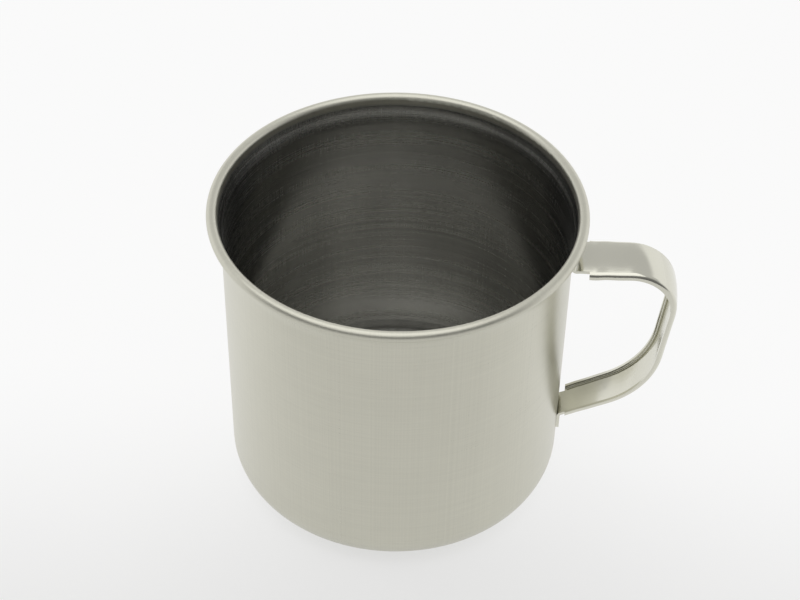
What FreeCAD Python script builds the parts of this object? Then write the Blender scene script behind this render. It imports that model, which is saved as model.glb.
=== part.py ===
import FreeCAD, Part
import math
import os

import Sketcher

# A deep drawn steel cup with a rolled rim and a folded strip handle, in millimetres.
# +Z is up, the cup stands on Z = 0, its axis is the Z axis and the handle points along +X.
# The cup is one piece, pressed from sheet: a line along the outside of the sheet is
# thickened and turned round the axis. The handle is one strip: a shallow channel
# that narrows downwards, bent twice, with a tongue and a welded tab at either end.

V = FreeCAD.Vector
ORIGIN = V(0, 0, 0)
UPRIGHT = FreeCAD.Placement(ORIGIN, FreeCAD.Rotation(V(1, 0, 0), 90))  # sketch y is up
START, END, CENTRE = 1, 2, 3      # point numbers of a sketch edge
AXIS_X, AXIS_Y = -1, -2           # axes of a sketch
SECTION_PITCH = 2.8               # most that two sections of the strip lie apart, roughly

SIZES = {
    # drawn shell
    "cup_height": (75.4, "foot to the top of the rolled rim"),
    "sheet_gauge": (0.5, "thickness of the drawn sheet"),
    "wall_top_radius": (39.0, "outside radius of the wall where the neck starts"),
    "wall_draft": (0.57, "degrees by which the wall leans out"),
    "neck_height": (5.8, "height of the neck between wall and rolled rim"),
    "neck_flare": (1.1, "how far the sheet widens over that neck"),
    "curl_radius": (1.2, "outside radius of the rolled rim's section"),
    "curl_turn": (295.0, "degrees by which the rim is rolled over"),
    "corner_radius": (8.3, "outside radius between wall and base"),
    "ring_width": (4.3, "flat ring that the cup stands on"),
    "recess_depth": (0.8, "depth of the recess inside that ring"),
    "recess_bend": (1.2, "outside bend radius at the edge of the recess"),
    # handle strip
    "strip_gauge": (0.7, "thickness of the handle sheet"),
    "strip_width_top": (12.6, "width over the folded edges at the upper end"),
    "strip_width_foot": (9.4, "width over the folded edges at the lower end"),
    "crown_radius": (46.0, "radius of the bowed outer face"),
    "fold_inside": (0.4, "inside radius of the folded edges"),
    "fold_lip": (0.35, "straight rim of the folded edges"),
    "top_corner_rise": (0.8, "rise of the upper leg from the wall to its corner"),
    "top_corner_reach": (25.7, "wall to the corner of upper leg and grip"),
    "top_bend_radius": (11.0, "outer bend radius of that corner"),
    "low_corner_rise": (10.6, "rise of the lower leg from the wall to its corner"),
    "low_corner_reach": (20.7, "wall to the corner of lower leg and grip"),
    "low_bend_radius": (21.0, "outer bend radius of that corner"),
    # ends of the handle
    "notch_margin": (0.1, "flat cut away past the fold, each side of a tongue"),
    "top_tongue_length": (3.7, "wall to the end of the folded edges at the top"),
    "low_tongue_length": (1.1, "wall to the end of the folded edges at the foot"),
    "top_tab_height": (4.2, "weld tab above the upper leg"),
    "top_tab_margin": (0.5, "straight wall left above the upper tab"),
    "low_tab_height": (5.4, "weld tab below the lower leg"),
    "low_tab_margin": (3.2, "straight wall left below the lower tab"),
    "tab_corner": (2.6, "rounding of the free corners of the tabs"),
    "tab_bend": (0.6, "inside bend radius between tongue and tab"),
}

# Expressions over the sheet: the drawn shell.
WALL_SLOPE = "tan(Sizes.wall_draft * 1 deg)"
WALL_TOP = "(Sizes.cup_height - Sizes.curl_radius - Sizes.neck_height)"
WALL_FOOT = "(Sizes.corner_radius * (1 - sin(Sizes.wall_draft * 1 deg)))"
NECK_END = "(Sizes.wall_top_radius + Sizes.neck_flare)"
CURL_INSIDE = "(Sizes.curl_radius - Sizes.sheet_gauge)"

# The handle. Each tab starts inside the thickness of its tongue.
OVERRUN = "(3 * Sizes.strip_gauge)"  # the strip starts this far inside the wall
TAB_ROOT = "(0.75 * Sizes.strip_gauge)"
FOLD = "(Sizes.fold_inside + Sizes.strip_gauge)"
NOTCH = f"({FOLD} + Sizes.notch_margin)"
TOP_TONGUE = f"(Sizes.strip_width_top - 2 * {NOTCH})"
LOW_TONGUE = f"(Sizes.strip_width_foot - 2 * {NOTCH})"
TOP_LEG = f"({WALL_TOP} - Sizes.top_tab_margin - Sizes.top_tab_height)"
LOW_LEG = f"({WALL_FOOT} + Sizes.low_tab_margin + Sizes.low_tab_height)"
TOP_CORNER = f"({TOP_LEG} + Sizes.top_corner_rise)"
LOW_CORNER = f"({LOW_LEG} + Sizes.low_corner_rise)"
TOP_REACH = "(Sizes.wall_top_radius + Sizes.top_corner_reach)"
LOW_REACH = "(Sizes.wall_top_radius + Sizes.low_corner_reach)"
# On a short grip the two bends shrink with it, so that they never meet.
TOP_BEND = f"min(Sizes.top_bend_radius; 0.35 * ({TOP_CORNER} - {LOW_CORNER}))"
LOW_BEND = f"min(Sizes.low_bend_radius; 0.8 * ({TOP_CORNER} - {LOW_CORNER}))"


def make_sheet(doc):
    sheet = doc.addObject("Spreadsheet::Sheet", "Sizes")
    for row, (name, (size, note)) in enumerate(SIZES.items(), start=1):
        sheet.set(f"A{row}", name)
        sheet.set(f"B{row}", str(size))
        sheet.setAlias(f"B{row}", name)
        sheet.set(f"C{row}", note)
    doc.recompute()


def value(doc, expression):
    """What an expression over the sheet comes to."""
    return float(doc.Sizes.evalExpression(expression))


# ---- sketch helpers -------------------------------------------------------


def line(sketch, start, end):
    return sketch.addGeometry(Part.LineSegment(V(*start, 0), V(*end, 0)), False)


def arc(sketch, centre, radius, first, last):
    """An arc drawn anticlockwise from angle first to angle last, in radians."""
    circle = Part.Circle(V(*centre, 0), V(0, 0, 1), radius)
    return sketch.addGeometry(Part.ArcOfCircle(circle, first, last), False)


def relate(sketch, kind, *references):
    sketch.addConstraint(Sketcher.Constraint(kind, *references))


def smooth(sketch, joints):
    """Tangent joints, each given as edge, point, edge, point."""
    for joint in joints:
        relate(sketch, "Tangent", *joint)


def dimension(sketch, kind, references, drawn, expression):
    """A dimension drawn at its value and tied to an expression over the sheet."""
    index = sketch.addConstraint(Sketcher.Constraint(kind, *references, drawn))
    sketch.setExpression(f"Constraints[{index}]", expression)


def place(sketch, edge, point, across=None, up=None):
    """Ties a point's distance across and up from the sketch origin."""
    drawn = sketch.getPoint(edge, point)
    if across:
        dimension(sketch, "DistanceX", (AXIS_X, START, edge, point), drawn.x, across)
    if up:
        dimension(sketch, "DistanceY", (AXIS_X, START, edge, point), drawn.y, up)


def radius(sketch, edge, expression):
    dimension(sketch, "Radius", (edge,), sketch.Geometry[edge].Radius, expression)


# ---- drawn shell ----------------------------------------------------------


def draw_shell_line(doc):
    """The outside of the sheet, from the middle of the base to the rolled edge."""
    sketch = doc.addObject("Sketcher::SketchObject", "ShellLine")
    sketch.Placement = UPRIGHT
    draft = math.radians(value(doc, "Sizes.wall_draft"))
    turn = math.radians(value(doc, "Sizes.curl_turn"))
    depth, bend = value(doc, "Sizes.recess_depth"), value(doc, "Sizes.recess_bend")
    corner, curl = value(doc, "Sizes.corner_radius"), value(doc, CURL_INSIDE)
    top_radius, top_height = value(doc, "Sizes.wall_top_radius"), value(doc, WALL_TOP)
    foot_height = value(doc, WALL_FOOT)
    foot_radius = top_radius - (top_height - foot_height) * math.tan(draft)
    corner_middle = foot_radius - corner * math.cos(draft)
    ring_start = corner_middle - value(doc, "Sizes.ring_width")
    step_turn = math.acos(1 - depth / (2 * bend))
    recess = ring_start - 2 * bend * math.sin(step_turn)
    neck_rise, flare = value(doc, "Sizes.neck_height"), value(doc, "Sizes.neck_flare")
    neck = (neck_rise ** 2 + flare ** 2) / (4 * flare)
    neck_turn = math.asin(neck_rise / (2 * neck))
    rim_height = top_height + neck_rise
    neck_end = top_radius + flare
    quarter = math.pi / 2

    floor = line(sketch, (0, depth), (recess, depth))
    step_in = arc(sketch, (recess, depth - bend), bend, quarter - step_turn, quarter)
    step_out = arc(sketch, (ring_start, bend), bend, 3 * quarter - step_turn, 3 * quarter)
    ring = line(sketch, (ring_start, 0), (corner_middle, 0))
    foot = arc(sketch, (corner_middle, corner), corner, 3 * quarter, 4 * quarter - draft)
    wall = line(sketch, (foot_radius, foot_height), (top_radius, top_height))
    neck_out = arc(sketch, (top_radius + neck, top_height), neck, math.pi - neck_turn, math.pi)
    neck_back = arc(sketch, (neck_end - neck, rim_height), neck, -neck_turn, 0)
    rolled = arc(sketch, (neck_end + curl, rim_height), curl, math.pi - turn, math.pi)

    smooth(sketch, [(floor, END, step_in, END), (step_in, START, step_out, START),
                    (step_out, END, ring, START), (ring, END, foot, START),
                    (foot, END, wall, START), (wall, END, neck_out, END),
                    (neck_out, START, neck_back, START), (neck_back, END, rolled, END)])
    relate(sketch, "PointOnObject", floor, START, AXIS_Y)
    relate(sketch, "Horizontal", floor)
    relate(sketch, "PointOnObject", ring, START, AXIS_X)
    relate(sketch, "Horizontal", ring)
    relate(sketch, "Equal", step_in, step_out)
    relate(sketch, "Equal", neck_out, neck_back)
    relate(sketch, "Horizontal", rolled, CENTRE, rolled, END)
    place(sketch, floor, END, up="Sizes.recess_depth")
    radius(sketch, step_in, "Sizes.recess_bend")
    ring_ends = (ring, START, ring, END)
    dimension(sketch, "DistanceX", ring_ends, corner_middle - ring_start, "Sizes.ring_width")
    radius(sketch, foot, "Sizes.corner_radius")
    dimension(sketch, "Angle", (wall,), math.pi / 2 - draft, "90 deg - Sizes.wall_draft * 1 deg")
    place(sketch, wall, END, "Sizes.wall_top_radius", WALL_TOP)
    place(sketch, rolled, CENTRE, f"{NECK_END} + {CURL_INSIDE}",
          "Sizes.cup_height - Sizes.curl_radius")
    radius(sketch, rolled, CURL_INSIDE)
    dimension(sketch, "Angle", (rolled,), turn, "Sizes.curl_turn * 1 deg")
    return sketch


def make_cup(doc):
    section = doc.addObject("Part::Offset2D", "ShellSection")
    section.Source = draw_shell_line(doc)
    section.Mode = "Skin"
    section.Fill = True
    section.setExpression("Value", "Sizes.sheet_gauge")
    shell = doc.addObject("Part::Revolution", "Shell")
    shell.Source = section
    shell.Axis = V(0, 0, 1)
    shell.Angle = 360
    shell.Solid = True
    shell.Label = "cup_body"
    doc.recompute()
    return shell


# ---- handle strip ---------------------------------------------------------


def round_corner(before, corner, after, bend):
    """Tangent points and centre of an arc that rounds a corner of three points."""
    back = (before - corner).normalize()
    ahead = (after - corner).normalize()
    half = back.getAngle(ahead) / 2
    run = bend / math.tan(half)
    centre = corner + (back + ahead).normalize() * (bend / math.sin(half))
    return corner + back * run, corner + ahead * run, centre


def angle_of(vector):
    return math.atan2(vector.y, vector.x)


def draw_strip_path(doc):
    """The middle of the strip's outer face: three straight runs and two bends."""
    sketch = doc.addObject("Sketcher::SketchObject", "StripPath")
    sketch.Placement = UPRIGHT
    corners = [("Sizes.wall_top_radius", TOP_LEG), (TOP_REACH, TOP_CORNER),
               (LOW_REACH, LOW_CORNER), ("Sizes.wall_top_radius", LOW_LEG)]
    top, high, low, foot = [V(value(doc, across), value(doc, up), 0) for across, up in corners]
    overrun, bends = value(doc, OVERRUN), (value(doc, TOP_BEND), value(doc, LOW_BEND))
    start = top - (high - top) * (overrun / (high.x - top.x))
    finish = foot - (low - foot) * (overrun / (low.x - foot.x))
    leave_top, reach_grip, high_centre = round_corner(start, high, low, bends[0])
    leave_grip, reach_low, low_centre = round_corner(high, low, finish, bends[1])

    upper = line(sketch, start[:2], leave_top[:2])
    high_bend = arc(sketch, high_centre[:2], bends[0],
                    angle_of(reach_grip - high_centre), angle_of(leave_top - high_centre))
    grip = line(sketch, reach_grip[:2], leave_grip[:2])
    low_bend = arc(sketch, low_centre[:2], bends[1],
                   angle_of(reach_low - low_centre), angle_of(leave_grip - low_centre))
    lower = line(sketch, reach_low[:2], finish[:2])
    marks = [sketch.addGeometry(Part.Point(point), True) for point in (top, high, low, foot)]

    smooth(sketch, [(upper, END, high_bend, END), (high_bend, START, grip, START),
                    (grip, END, low_bend, END), (low_bend, START, lower, START)])
    for run, first, second in zip((upper, grip, lower), marks, marks[1:]):
        relate(sketch, "PointOnObject", first, START, run)
        relate(sketch, "PointOnObject", second, START, run)
    for mark, (across, up) in zip(marks, corners):
        place(sketch, mark, START, across, up)
    place(sketch, upper, START, f"Sizes.wall_top_radius - {OVERRUN}")
    place(sketch, lower, END, f"Sizes.wall_top_radius - {OVERRUN}")
    radius(sketch, high_bend, TOP_BEND)
    radius(sketch, low_bend, LOW_BEND)
    doc.recompute()
    return sketch


def draw_channel(doc, name, share, placement):
    """The strip's section at a share of its length: a bowed web with two folded edges."""
    sketch = doc.addObject("Sketcher::SketchObject", name)
    sketch.Placement = placement
    half_width = (f"(Sizes.strip_width_top + {share:.6f} * "
                  "(Sizes.strip_width_foot - Sizes.strip_width_top)) / 2")
    half, crown = value(doc, half_width), value(doc, "Sizes.crown_radius")
    gauge, fold = value(doc, "Sizes.strip_gauge"), value(doc, FOLD)
    across = half - fold
    shoulder = math.sqrt((crown - fold) ** 2 - across ** 2) - crown
    tip = shoulder - value(doc, "Sizes.fold_lip")
    lean = math.asin(across / (crown - fold))
    right, left = math.pi / 2 - lean, math.pi / 2 + lean

    side_r = line(sketch, (half, tip), (half, shoulder))
    fold_r = arc(sketch, (across, shoulder), fold, 0, right)
    web = arc(sketch, (0, -crown), crown, right, left)
    fold_l = arc(sketch, (-across, shoulder), fold, left, math.pi)
    side_l = line(sketch, (-half, shoulder), (-half, tip))
    tip_l = line(sketch, (-half, tip), (gauge - half, tip))
    inner_l = line(sketch, (gauge - half, tip), (gauge - half, shoulder))
    infold_l = arc(sketch, (-across, shoulder), fold - gauge, left, math.pi)
    inweb = arc(sketch, (0, -crown), crown - gauge, right, left)
    infold_r = arc(sketch, (across, shoulder), fold - gauge, 0, right)
    inner_r = line(sketch, (half - gauge, shoulder), (half - gauge, tip))
    tip_r = line(sketch, (half - gauge, tip), (half, tip))

    smooth(sketch, [(side_r, END, fold_r, START), (fold_r, END, web, START),
                    (web, END, fold_l, START), (fold_l, END, side_l, START),
                    (inner_l, END, infold_l, END), (infold_l, START, inweb, END),
                    (inweb, START, infold_r, END), (infold_r, START, inner_r, START)])
    for first, second in ((side_l, tip_l), (tip_l, inner_l), (inner_r, tip_r), (tip_r, side_r)):
        relate(sketch, "Coincident", first, END, second, START)
    for outer, inner in ((fold_r, infold_r), (fold_l, infold_l), (web, inweb)):
        relate(sketch, "Coincident", outer, CENTRE, inner, CENTRE)
    for edge in (side_r, side_l, inner_r, inner_l):
        relate(sketch, "Vertical", edge)
    for edge in (tip_r, tip_l):
        relate(sketch, "Horizontal", edge)
    relate(sketch, "PointOnObject", web, CENTRE, AXIS_Y)
    relate(sketch, "Equal", fold_r, fold_l)
    relate(sketch, "Equal", side_r, side_l)
    dimension(sketch, "Distance", (side_r,), shoulder - tip, "Sizes.fold_lip")
    place(sketch, side_r, START, half_width)
    place(sketch, side_l, END, f"-{half_width}")
    place(sketch, tip_l, END, f"Sizes.strip_gauge - {half_width}")
    place(sketch, web, CENTRE, up="-Sizes.crown_radius")
    radius(sketch, web, "Sizes.crown_radius")
    radius(sketch, fold_r, FOLD)
    return sketch


def stations(wire, count):
    """Evenly spaced places along a wire: share of its length, point and direction."""
    edges = wire.OrderedEdges
    remaining = [wire.Length * step / count for step in range(count + 1)]
    found = []
    done = 0.0
    for edge in edges:
        last = edge is edges[-1]
        here = [far for far in remaining if last or far < done + edge.Length]
        remaining = remaining[len(here):]
        for far in here:
            forward = edge.Orientation == "Forward"
            along = min(far - done, edge.Length)
            parameter = edge.getParameterByLength(along if forward else edge.Length - along)
            tangent = edge.tangentAt(parameter)
            found.append((far / wire.Length, edge.valueAt(parameter),
                          tangent if forward else -tangent))
        done += edge.Length
    return found


def make_strip(doc):
    """The channel: one smooth loft through sections square to the path."""
    wire = draw_strip_path(doc).Shape.Wires[0]
    count = round(wire.Length / SECTION_PITCH)
    sections = []
    for index, (share, point, along) in enumerate(stations(wire, count)):
        outward = V(-along.z, 0, along.x)
        turn = FreeCAD.Rotation(outward.cross(along), outward, along)
        placement = FreeCAD.Placement(point, turn)
        sections.append(draw_channel(doc, f"Channel{index}", share, placement))
    strip = doc.addObject("Part::Loft", "Strip")
    strip.Sections = sections
    strip.Solid = True
    doc.recompute()
    return strip


def make_cone(doc, name, growth):
    """The outside of the cup's wall, made growth thicker, as a cone with its seam at -X."""
    cone = doc.addObject("Part::Cone", name)
    cone.Placement = FreeCAD.Placement(ORIGIN, FreeCAD.Rotation(V(0, 0, 1), 180))
    thicker = f"Sizes.wall_top_radius + {growth}"
    cone.setExpression("Radius1", f"{thicker} - {WALL_TOP} * {WALL_SLOPE}")
    cone.setExpression("Radius2", thicker)
    cone.setExpression("Height", WALL_TOP)
    return cone


def make_box(doc, name, low, high):
    """A box between two corners, each given as three expressions over the sheet."""
    box = doc.addObject("Part::Box", name)
    for side, axis, near, far in zip(("Length", "Width", "Height"), "xyz", low, high):
        box.setExpression(side, f"({far}) - ({near})")
        box.setExpression(f"Placement.Base.{axis}", near)
    return box


def make_notches(doc, name, tongue_width, tongue_length, low, high):
    """Two boxes that take the folded edges away beside a tongue."""
    beyond = "Sizes.strip_width_top"
    outer = f"Sizes.wall_top_radius + {tongue_length}"
    inner = f"Sizes.wall_top_radius - 2 * {OVERRUN}"
    right = make_box(doc, name + "Right", (inner, f"-{beyond}", low),
                     (outer, f"-{tongue_width} / 2", high))
    left = make_box(doc, name + "Left", (inner, f"{tongue_width} / 2", low),
                    (outer, beyond, high))
    return [right, left]


def edges_where(shape, wanted):
    """Numbers of the edges whose middle point meets the condition."""
    found = []
    for number, edge in enumerate(shape.Edges, start=1):
        middle = edge.valueAt((edge.FirstParameter + edge.LastParameter) / 2)
        if wanted(edge, middle):
            found.append(number)
    return found


def make_tab(doc, name, wall_sheet, width, low, high, free_end):
    """A weld tab: sheet on the wall, within a plate with two round corners."""
    plate = make_box(doc, name + "Plate",
                     (f"Sizes.wall_top_radius - {OVERRUN}", f"-{width} / 2", low),
                     (f"Sizes.wall_top_radius + {OVERRUN}", f"{width} / 2", high))
    doc.recompute()
    free_height = value(doc, free_end)
    corner = value(doc, "Sizes.tab_corner")

    def at_free_corner(edge, middle):
        return edge.BoundBox.XLength > corner / 2 and abs(middle.z - free_height) < corner / 10

    rounded = doc.addObject("Part::Fillet", name + "Outline")
    rounded.Base = plate
    rounded.Edges = [(number, corner, corner)
                     for number in edges_where(plate.Shape, at_free_corner)]
    tab = doc.addObject("Part::Common", name)
    tab.Base = wall_sheet
    tab.Tool = rounded
    return tab


def make_handle(doc):
    middle = f"({TOP_LEG} + {LOW_LEG}) / 2"
    notches = make_notches(doc, "TopNotch", TOP_TONGUE, "Sizes.top_tongue_length",
                           middle, "Sizes.cup_height")
    notches += make_notches(doc, "LowNotch", LOW_TONGUE, "Sizes.low_tongue_length",
                            "0", middle)
    waste = doc.addObject("Part::MultiFuse", "StripWaste")
    waste.Shapes = notches
    blank = doc.addObject("Part::Cut", "StripBlank")
    blank.Base = make_strip(doc)
    blank.Tool = waste

    wall_sheet = make_cone(doc, "SheetOnWall", "Sizes.strip_gauge")
    top_end = f"{TOP_LEG} + Sizes.top_tab_height"
    top_tab = make_tab(doc, "TopTab", wall_sheet, TOP_TONGUE,
                       f"{TOP_LEG} - {TAB_ROOT}", top_end, top_end)
    slope = "(Sizes.low_corner_rise / Sizes.low_corner_reach)"
    inset = f"({WALL_TOP} - {LOW_LEG}) * {WALL_SLOPE}"
    low_root = f"{LOW_LEG} - {slope} * {inset} + {TAB_ROOT} / cos(atan{slope})"
    low_end = f"{LOW_LEG} - Sizes.low_tab_height"
    low_tab = make_tab(doc, "LowTab", wall_sheet, LOW_TONGUE, low_end, low_root, low_end)
    joined = doc.addObject("Part::MultiFuse", "StripWithTabs")
    joined.Shapes = [blank, top_tab, low_tab]
    fitted = doc.addObject("Part::Cut", "StripOnWall")
    fitted.Base = joined
    fitted.Tool = make_cone(doc, "WallOutside", "0")
    doc.recompute()

    handle = doc.addObject("Part::Fillet", "Handle")
    handle.Base = fitted
    handle.Edges = bend_edges(doc, fitted.Shape)
    handle.Label = "handle"
    doc.recompute()
    return handle


def bend_edges(doc, shape):
    """The edges across each tongue, with the outside or the inside bend radius."""
    gauge, inside = value(doc, "Sizes.strip_gauge"), value(doc, "Sizes.tab_bend")
    legs = (value(doc, TOP_LEG), value(doc, LOW_LEG))
    narrow = value(doc, LOW_TONGUE)
    wall_top, wall_radius = value(doc, WALL_TOP), value(doc, "Sizes.wall_top_radius")
    slope = value(doc, WALL_SLOPE)
    chosen = []
    for off_wall, bend in ((0, inside + gauge), (gauge, inside)):

        def at_bend(edge, middle):
            wall = wall_radius - (wall_top - middle.z) * slope
            from_wall = math.hypot(middle.x, middle.y) - wall
            return (edge.BoundBox.YLength > narrow / 2
                    and abs(from_wall - off_wall) < 0.1 * gauge
                    and min(abs(middle.z - leg) for leg in legs) < 2 * gauge)

        chosen += [(number, bend, bend) for number in edges_where(shape, at_bend)]
    return chosen


# ---- the whole cup --------------------------------------------------------


def check(doc, parts):
    """Stops the script if an object failed or a part is no single valid solid."""
    failed = [item.Name for item in doc.Objects if {"Invalid", "Error"} & set(item.State)]
    if failed:
        raise RuntimeError("failed to build: " + ", ".join(failed))
    for part in parts:
        shape = part.Shape
        if shape.isNull() or not shape.isValid() or len(shape.Solids) != 1:
            raise RuntimeError(part.Label + " is not one valid solid")
        box = shape.optimalBoundingBox()
        print(f"{part.Label}: {shape.Volume:.1f} mm3, X {box.XMin:.2f} to {box.XMax:.2f}, "
              f"Y {box.YMin:.2f} to {box.YMax:.2f}, Z {box.ZMin:.2f} to {box.ZMax:.2f}")


def build():
    doc = FreeCAD.newDocument("DrawnCup")
    make_sheet(doc)
    parts = [make_cup(doc), make_handle(doc)]
    check(doc, parts)
    os.makedirs("parts", exist_ok=True)
    for part in parts:
        part.Shape.exportStep(f"parts/{part.Label}.step")


build()
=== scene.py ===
import math

import bpy
from mathutils import Matrix, Vector


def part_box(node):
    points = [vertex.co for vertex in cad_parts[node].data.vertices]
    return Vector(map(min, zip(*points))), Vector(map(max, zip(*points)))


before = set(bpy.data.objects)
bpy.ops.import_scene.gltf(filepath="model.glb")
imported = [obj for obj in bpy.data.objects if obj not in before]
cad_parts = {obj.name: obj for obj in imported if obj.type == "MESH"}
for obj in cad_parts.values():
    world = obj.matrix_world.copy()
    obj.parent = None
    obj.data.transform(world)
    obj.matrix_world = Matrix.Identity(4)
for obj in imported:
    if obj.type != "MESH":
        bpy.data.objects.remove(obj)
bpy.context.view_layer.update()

# A deep drawn steel cup, satin brushed outside, with turned rings inside and a
# polished strip handle, on a pale floor. The solids come from the frame; this
# script gives them their finish, the light and the camera.

CUP_LOW, CUP_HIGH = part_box("cup_body")
RIM_RADIUS = CUP_HIGH.x
CUP_HEIGHT = CUP_HIGH.z

# Camera, in the frame's metres and in degrees.
CAMERA_AT = Vector((0.01932, -0.36254, 0.37597))
CAMERA_HEADING = -2.925     # to the right of +Y, seen from above
CAMERA_PITCH = 42.133       # below the horizon
CAMERA_ROLL = 1.080
CAMERA_LENS = 96.92         # mm, on a 36 mm sensor

# Finish of the cup and the handle, with painted sheen streaks in the cup's colour. Depths and
# heights in metres, tones as shares of the steel's own brightness, from the darkest to the
# brightest.
RIM_FADE = (0.0026, 0.0018)     # below the top, where the wall's finish gives way to the rim's
WALL_LINES = 0.16               # fine rings outside
INNER_LINES = 0.55              # turned rings inside
PAINTED_SHEEN_STREAKS = 0.22             # painted sheen: upright highlight streaks in the colour
WALL_CLOUDS = 0.10              # soft unevenness
WALL_GROOVES = 0.00002
STRIP_GROOVES = 0.000004

# Studio. Levels are linear, and 1 is white.
FLOOR_SIZE = 6.0
FLOOR_LEVEL = 0.88
WHITE_SHARE = (0.30, 0.85)      # white mixed into the floor as seen, in front and behind; its rise towards the back is painted light from behind
PAINTED_FALLOFF_SPAN = (-2.4, 0.6)        # where the painted light goes from the front share to the back one, in rim radii along Y
BACKDROP_EDGE = (0.40, 0.52)    # sine of the height at which the white backdrop ends
BACKDROP_LEVEL = (1.0, 0.62)    # the backdrop, and the room above it
ROOM_RISE = (0.50, 0.95)        # sine of the height over which the front grows lighter
ROOM_LEVEL = (0.18, 0.55)       # the room in front, low down and overhead
ROOM_TO_BACKDROP = (-0.5, 0.1)  # Y of the direction, from all room to all backdrop


# ---- node helpers ---------------------------------------------------------


class Graph:
    """The node tree of a new material or of the world, with short ways to add to it."""

    def __init__(self, owner):
        owner.use_nodes = True
        self.tree = owner.node_tree
        self.tree.nodes.clear()

    def add(self, kind, inputs=(), **settings):
        """A node; inputs maps a socket's name or number to a value or to another socket."""
        node = self.tree.nodes.new(kind)
        for name, setting in settings.items():
            setattr(node, name, setting)
        for socket, given in dict(inputs).items():
            if isinstance(given, bpy.types.NodeSocket):
                self.tree.links.new(given, node.inputs[socket])
            else:
                node.inputs[socket].default_value = given
        return node

    def maths(self, operation, first, second=0.0):
        return self.add("ShaderNodeMath", {0: first, 1: second}, operation=operation).outputs[0]

    def swing(self, noise, amount):
        """A noise of 0 to 1 as a deviation about zero, that many units from end to end."""
        return self.maths("MULTIPLY", self.maths("SUBTRACT", noise, 0.5), amount)

    def step(self, given, low, high, to_low=0.0, to_high=1.0):
        """A smooth step of given from low to high, between the two results."""
        node = self.add("ShaderNodeMapRange", {"Value": given, "From Min": low, "From Max": high,
                                               "To Min": to_low, "To Max": to_high},
                        interpolation_type="SMOOTHSTEP")
        return node.outputs["Result"]

    def blend(self, factor, first, second):
        """A mix of two numbers."""
        node = self.add("ShaderNodeMix", {"Factor": factor, "A": first, "B": second})
        return node.outputs["Result"]

    def colours(self, factor, first, second, blend_type="MIX"):
        """A mix of two colours."""
        node = self.add("ShaderNodeMix", {0: factor, 6: first, 7: second}, data_type="RGBA",
                        blend_type=blend_type)
        return node.outputs[2]

    def vector(self, x, y, z):
        return self.add("ShaderNodeCombineXYZ", {"X": x, "Y": y, "Z": z}).outputs[0]

    def noise(self, vector, scale=1.0, detail=3.0, roughness=0.6):
        node = self.add("ShaderNodeTexNoise", {"Vector": vector, "Scale": scale, "Detail": detail,
                                               "Roughness": roughness})
        return node.outputs["Fac"]

    def shaded(self, base, brightness):
        """A colour times a brightness."""
        level = self.add("ShaderNodeCombineColor", {0: brightness, 1: brightness, 2: brightness})
        return self.colours(1.0, base, level.outputs[0], "MULTIPLY")

    def bump(self, height, distance):
        return self.add("ShaderNodeBump", {"Height": height, "Distance": distance,
                                           "Strength": 1.0}).outputs[0]


def new_material(name):
    material = bpy.data.materials.new(name)
    return material, Graph(material)


def grey(level, warmth=0.0):
    """A grey of that level, a little towards yellow."""
    return (level, level * (1 - 0.1 * warmth), level * (1 - warmth), 1.0)


# ---- materials ------------------------------------------------------------


def stretched(graph, place, along, up):
    """Coordinates that are drawn out sideways: features a long way along, and fine upwards."""
    return graph.vector(graph.maths("MULTIPLY", place["x"], along),
                        graph.maths("MULTIPLY", place["y"], along),
                        graph.maths("MULTIPLY", place["run"], up))


def cup_place(graph):
    """Where a point of the cup lies: x, y, z, its radius, and its run along the profile."""
    point = graph.add("ShaderNodeTexCoord").outputs["Object"]
    parts = graph.add("ShaderNodeSeparateXYZ", {0: point}).outputs
    flat = graph.vector(parts[0], parts[1], 0.0)
    radius = graph.add("ShaderNodeVectorMath", {0: flat}, operation="LENGTH").outputs["Value"]
    return {"point": point, "x": parts[0], "y": parts[1], "z": parts[2], "radius": radius,
            "run": graph.maths("ADD", parts[2], radius)}


def facing_in(graph, place):
    """1 on the inside of the cup, 0 on the outside, from the way the surface faces."""
    normal = graph.add("ShaderNodeNewGeometry").outputs["True Normal"]
    facing = graph.add("ShaderNodeSeparateXYZ", {0: normal}).outputs
    outwards = graph.maths("ADD", graph.maths("MULTIPLY", facing[0], place["x"]),
                           graph.maths("MULTIPLY", facing[1], place["y"]))
    inwards = graph.maths("LESS_THAN", outwards, 0.0)
    upwards = graph.maths("GREATER_THAN", facing[2], 0.5)
    return graph.maths("MAXIMUM", inwards, upwards)


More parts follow.
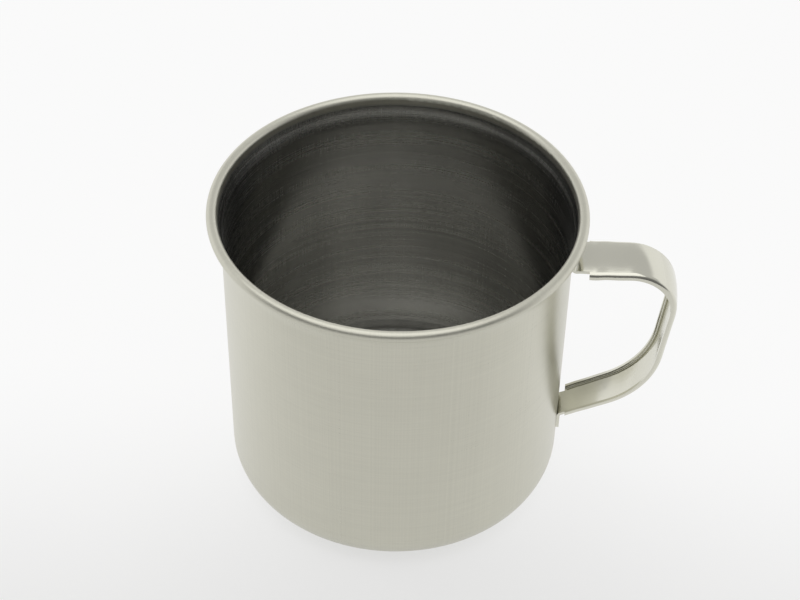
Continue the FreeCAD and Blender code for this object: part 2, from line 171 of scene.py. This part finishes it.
def drawn_steel():
    """Satin steel: fine rings round the axis, coarser inside, and a cross-brushed rim, with
    painted sheen streaks in the colour and a darker grey inside as painted shade.
    """
    material, graph = new_material("drawn_steel")
    place = cup_place(graph)
    rim = graph.step(place["z"], CUP_HEIGHT - RIM_FADE[0], CUP_HEIGHT - RIM_FADE[1])
    below_rim = graph.maths("SUBTRACT", 1.0, rim)
    inside = graph.maths("MULTIPLY", facing_in(graph, place), below_rim)

    fine = graph.noise(stretched(graph, place, 40, 2600), detail=4, roughness=0.7)
    rings = graph.noise(stretched(graph, place, 9, 900), detail=4, roughness=0.65)
    lines = graph.blend(inside, fine, rings)
    # Noise on the unit circle: it changes only with the angle, so it makes upright streaks. In
    # the colour they are painted sheen streaks; on the rim the same noise makes bump grooves.
    around = graph.maths("DIVIDE", 1.0, place["radius"])
    across = graph.vector(graph.maths("MULTIPLY", place["x"], around),
                          graph.maths("MULTIPLY", place["y"], around), 0.0)
    sheen_streaks_and_rim_grooves = graph.noise(across, scale=140, detail=4, roughness=0.7)
    cloudy = graph.noise(place["point"], scale=45)

    # Painted sheen: the upright streaks in this tone lighten and darken the colour; the rings and
    # clouds are the steel's own marks.
    tone = graph.maths("ADD", graph.swing(lines, graph.blend(inside, WALL_LINES, INNER_LINES)),
                       graph.swing(sheen_streaks_and_rim_grooves, PAINTED_SHEEN_STREAKS))
    tone = graph.maths("ADD", tone, graph.swing(cloudy, WALL_CLOUDS))
    # Painted shade: the inside is given a darker steel grey than the outside.
    base = graph.colours(inside, grey(0.63, 0.15), grey(0.46, 0.06))
    colour = graph.shaded(base, graph.maths("ADD", 1.0, tone))

    rough = graph.blend(rim, graph.blend(inside, 0.30, 0.25), 0.36)
    rough = graph.maths("ADD", rough, graph.maths("MULTIPLY", tone, 0.5))
    grooves = graph.bump(graph.blend(rim, lines, sheen_streaks_and_rim_grooves), WALL_GROOVES)
    tangent = graph.add("ShaderNodeTangent", direction_type="RADIAL", axis="Z").outputs[0]
    shader = graph.add("ShaderNodeBsdfPrincipled", {
        "Base Color": colour, "Metallic": 1.0, "Roughness": rough, "Anisotropic": 0.6,
        "Anisotropic Rotation": 0.25, "Tangent": tangent, "Normal": grooves})
    graph.add("ShaderNodeOutputMaterial", {"Surface": shader.outputs[0]})
    return material


def handle_steel():
    """Polished strip: nearly a mirror, with faint lines along it and light wear."""
    material, graph = new_material("handle_steel")
    point = graph.add("ShaderNodeTexCoord").outputs["Object"]
    parts = graph.add("ShaderNodeSeparateXYZ", {0: point}).outputs
    along = graph.vector(graph.maths("MULTIPLY", parts[0], 25),
                         graph.maths("MULTIPLY", parts[1], 3000),
                         graph.maths("MULTIPLY", parts[2], 25))
    lines = graph.noise(along)
    worn = graph.maths("SUBTRACT", graph.noise(point, scale=90, detail=4), 0.5)
    rough = graph.maths("ADD", 0.13, graph.maths("MULTIPLY", worn, 0.12))
    shade = graph.maths("ADD", 1.0, graph.maths("MULTIPLY", worn, 0.08))
    shader = graph.add("ShaderNodeBsdfPrincipled", {
        "Base Color": graph.shaded(grey(0.68, 0.14), shade), "Metallic": 1.0,
        "Roughness": rough, "Normal": graph.bump(lines, STRIP_GROOVES)})
    graph.add("ShaderNodeOutputMaterial", {"Surface": shader.outputs[0]})
    return material


def dress(node, material):
    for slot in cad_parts[node].material_slots:
        slot.material = material


# ---- stage, light and camera ----------------------------------------------


def make_floor():
    """A pale floor, far larger than the view, that goes to white behind the cup; that rise from
    front to back is painted light falling from behind.
    """
    material, graph = new_material("pale_floor")
    diffuse = graph.add("ShaderNodeBsdfDiffuse", {"Color": grey(FLOOR_LEVEL, 0.01)}).outputs[0]
    white = graph.add("ShaderNodeEmission", {"Color": grey(1.0), "Strength": 1.0}).outputs[0]
    point = graph.add("ShaderNodeTexCoord").outputs["Object"]
    depth = graph.add("ShaderNodeSeparateXYZ", {0: point}).outputs[1]
    near, far = (reach * RIM_RADIUS for reach in PAINTED_FALLOFF_SPAN)
    # Painted light: the floor's white share grows from front to back, as if lit from behind.
    white_with_painted_falloff = graph.step(depth, near, far, *WHITE_SHARE)
    path = graph.add("ShaderNodeLightPath").outputs
    seen = graph.maths("MAXIMUM", path["Is Camera Ray"], path["Is Glossy Ray"])
    mixed = graph.add("ShaderNodeMixShader", {0: graph.maths("MULTIPLY", white_with_painted_falloff, seen),
                                              1: diffuse, 2: white}).outputs[0]
    graph.add("ShaderNodeOutputMaterial", {"Surface": mixed})
    bpy.ops.mesh.primitive_plane_add(size=FLOOR_SIZE, location=(0, 0, 0))
    floor = bpy.context.object
    floor.name = "floor"
    floor.data.materials.append(material)


def make_world():
    """A room with a white backdrop: bright low behind the cup, darker in front of it."""
    world = bpy.data.worlds.new("studio")
    bpy.context.scene.world = world
    graph = Graph(world)
    direction = graph.add("ShaderNodeTexCoord").outputs["Generated"]
    parts = graph.add("ShaderNodeSeparateXYZ", {0: direction}).outputs
    behind = graph.step(parts[2], *BACKDROP_EDGE, *BACKDROP_LEVEL)
    front = graph.step(parts[2], *ROOM_RISE, *ROOM_LEVEL)
    level = graph.blend(graph.step(parts[1], *ROOM_TO_BACKDROP), front, behind)
    colour = graph.add("ShaderNodeCombineColor", {0: level, 1: level, 2: level}).outputs[0]
    background = graph.add("ShaderNodeBackground", {"Color": colour, "Strength": 1.0})
    graph.add("ShaderNodeOutputWorld", {"Surface": background.outputs[0]})


def add_softbox(name, at, size, power):
    """A rectangular lamp that faces the cup."""
    data = bpy.data.lights.new(name, "AREA")
    data.shape = "RECTANGLE"
    data.size, data.size_y = size
    data.energy = power
    lamp = bpy.data.objects.new(name, data)
    lamp.location = at
    towards = Vector((0, 0, CUP_HEIGHT / 2)) - Vector(at)
    lamp.rotation_euler = towards.to_track_quat("-Z", "Y").to_euler()
    bpy.context.scene.collection.objects.link(lamp)


def make_camera():
    """The camera, turned by heading, pitch and roll."""
    heading, pitch = math.radians(CAMERA_HEADING), math.radians(CAMERA_PITCH)
    forward = Vector((math.sin(heading) * math.cos(pitch), math.cos(heading) * math.cos(pitch),
                      -math.sin(pitch)))
    level_right = Vector((math.cos(heading), -math.sin(heading), 0))
    level_up = level_right.cross(forward)
    roll = math.radians(CAMERA_ROLL)
    right = math.cos(roll) * level_right + math.sin(roll) * level_up
    up = -math.sin(roll) * level_right + math.cos(roll) * level_up
    data = bpy.data.cameras.new("camera")
    data.lens = CAMERA_LENS
    data.clip_start = 0.01
    camera = bpy.data.objects.new("camera", data)
    turn = Matrix((right, up, -forward)).transposed()
    camera.matrix_world = Matrix.Translation(CAMERA_AT) @ turn.to_4x4()
    bpy.context.scene.collection.objects.link(camera)
    bpy.context.scene.camera = camera


dress("cup_body", drawn_steel())
dress("handle", handle_steel())
make_floor()
make_world()
add_softbox("top_light", at=(-0.2, -0.1, 1.6), size=(2.2, 2.0), power=10)
make_camera()
bpy.context.scene.view_settings.view_transform = "Standard"
